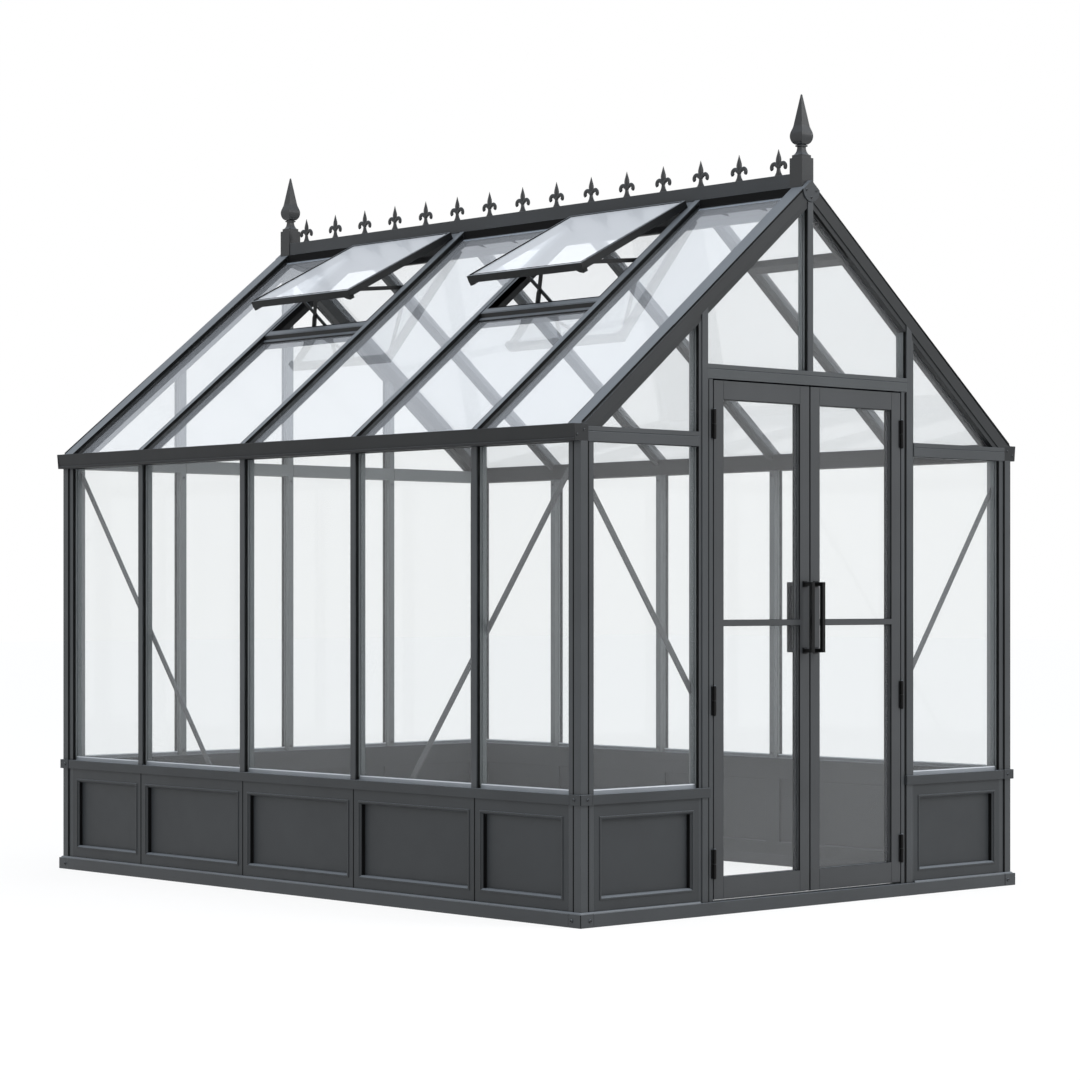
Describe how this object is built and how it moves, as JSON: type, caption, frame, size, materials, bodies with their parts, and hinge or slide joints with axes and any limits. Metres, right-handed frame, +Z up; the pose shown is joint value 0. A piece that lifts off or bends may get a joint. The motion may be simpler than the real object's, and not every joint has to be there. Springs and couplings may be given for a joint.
{
  "type": "glass greenhouse",
  "caption": "Free-standing Victorian glass greenhouse: dark aluminium frame on a panelled knee wall, double doors, opened roof vents and a crested ridge with spires.",
  "frame": {"origin": "on the ground, in the middle of the plan", "axes": "+Z up, +Y from the door gable to the rear gable along the ridge, +X to the right when looking at the doors"},
  "size_m": [2.506, 3.355, 3.132],
  "materials": {
    "frame_metal": "anthracite powder coat, satin",
    "panel_metal": "anthracite powder coat on pressed aluminium panels, satin",
    "gutter_metal": "anthracite powder coat, satin",
    "cast_metal": "anthracite powder coat on castings, satin",
    "door_metal": "anthracite powder coat, satin",
    "brace_metal": "anthracite powder coat on flat bar, satin",
    "opener_metal": "near black powder coat on arms and plates",
    "handle_black": "black powder coat, semi-gloss",
    "hinge_black": "black powder coat, semi-gloss",
    "wall_glass": "clear toughened sheet",
    "roof_glass": "toughened sheet with a pale blue-white sheen"
  },
  "bodies": {
    "root": {"apex_plates": "cast_metal", "base_frame": "frame_metal", "corner_posts": "frame_metal", "cresting_rail": "cast_metal", "door_posts": "frame_metal", "eaves_rails": "frame_metal", "fleur_finials": "cast_metal", "front_wall_glass": "wall_glass", "gable_glass": "wall_glass", "gable_mullion": "frame_metal", "gable_rafters": "frame_metal", "gutters": "gutter_metal", "jamb_hinges": "hinge_black", "knee_wall_front": "panel_metal", "knee_wall_left": "panel_metal", "knee_wall_rear": "panel_metal", "knee_wall_right": "panel_metal", "left_wall_glass": "wall_glass", "purlin": "frame_metal", "rear_wall_bars": "frame_metal", "rear_wall_glass": "wall_glass", "ridge_beam": "frame_metal", "right_wall_glass": "wall_glass", "roof_bars": "frame_metal", "roof_glass_left": "roof_glass", "roof_glass_right": "roof_glass", "scissor_openers": "opener_metal", "side_wall_bars": "frame_metal", "sill_rails": "frame_metal", "spire_finials": "cast_metal", "transom": "frame_metal", "vent_glass": "roof_glass", "vent_kerbs": "frame_metal", "vent_sashes": "frame_metal", "vent_stays": "opener_metal", "wall_braces": "brace_metal"},
    "left_door": {"left_door_frame": "door_metal", "left_door_glass": "wall_glass", "left_door_handles": "handle_black", "left_door_hinges": "hinge_black"},
    "right_door": {"right_door_frame": "door_metal", "right_door_glass": "wall_glass", "right_door_handles": "handle_black", "right_door_hinges": "hinge_black"}
  },
  "joints": [
    {"name": "left_door_hinge", "type": "hinge", "parent": "root", "child": "left_door", "pos_m": [-0.534, -1.653, 0.056], "axis": [0, 0, -1], "range_deg": [0, 110]},
    {"name": "right_door_hinge", "type": "hinge", "parent": "root", "child": "right_door", "pos_m": [0.534, -1.653, 0.056], "axis": [0, 0, 1], "range_deg": [0, 110]}
  ]
}
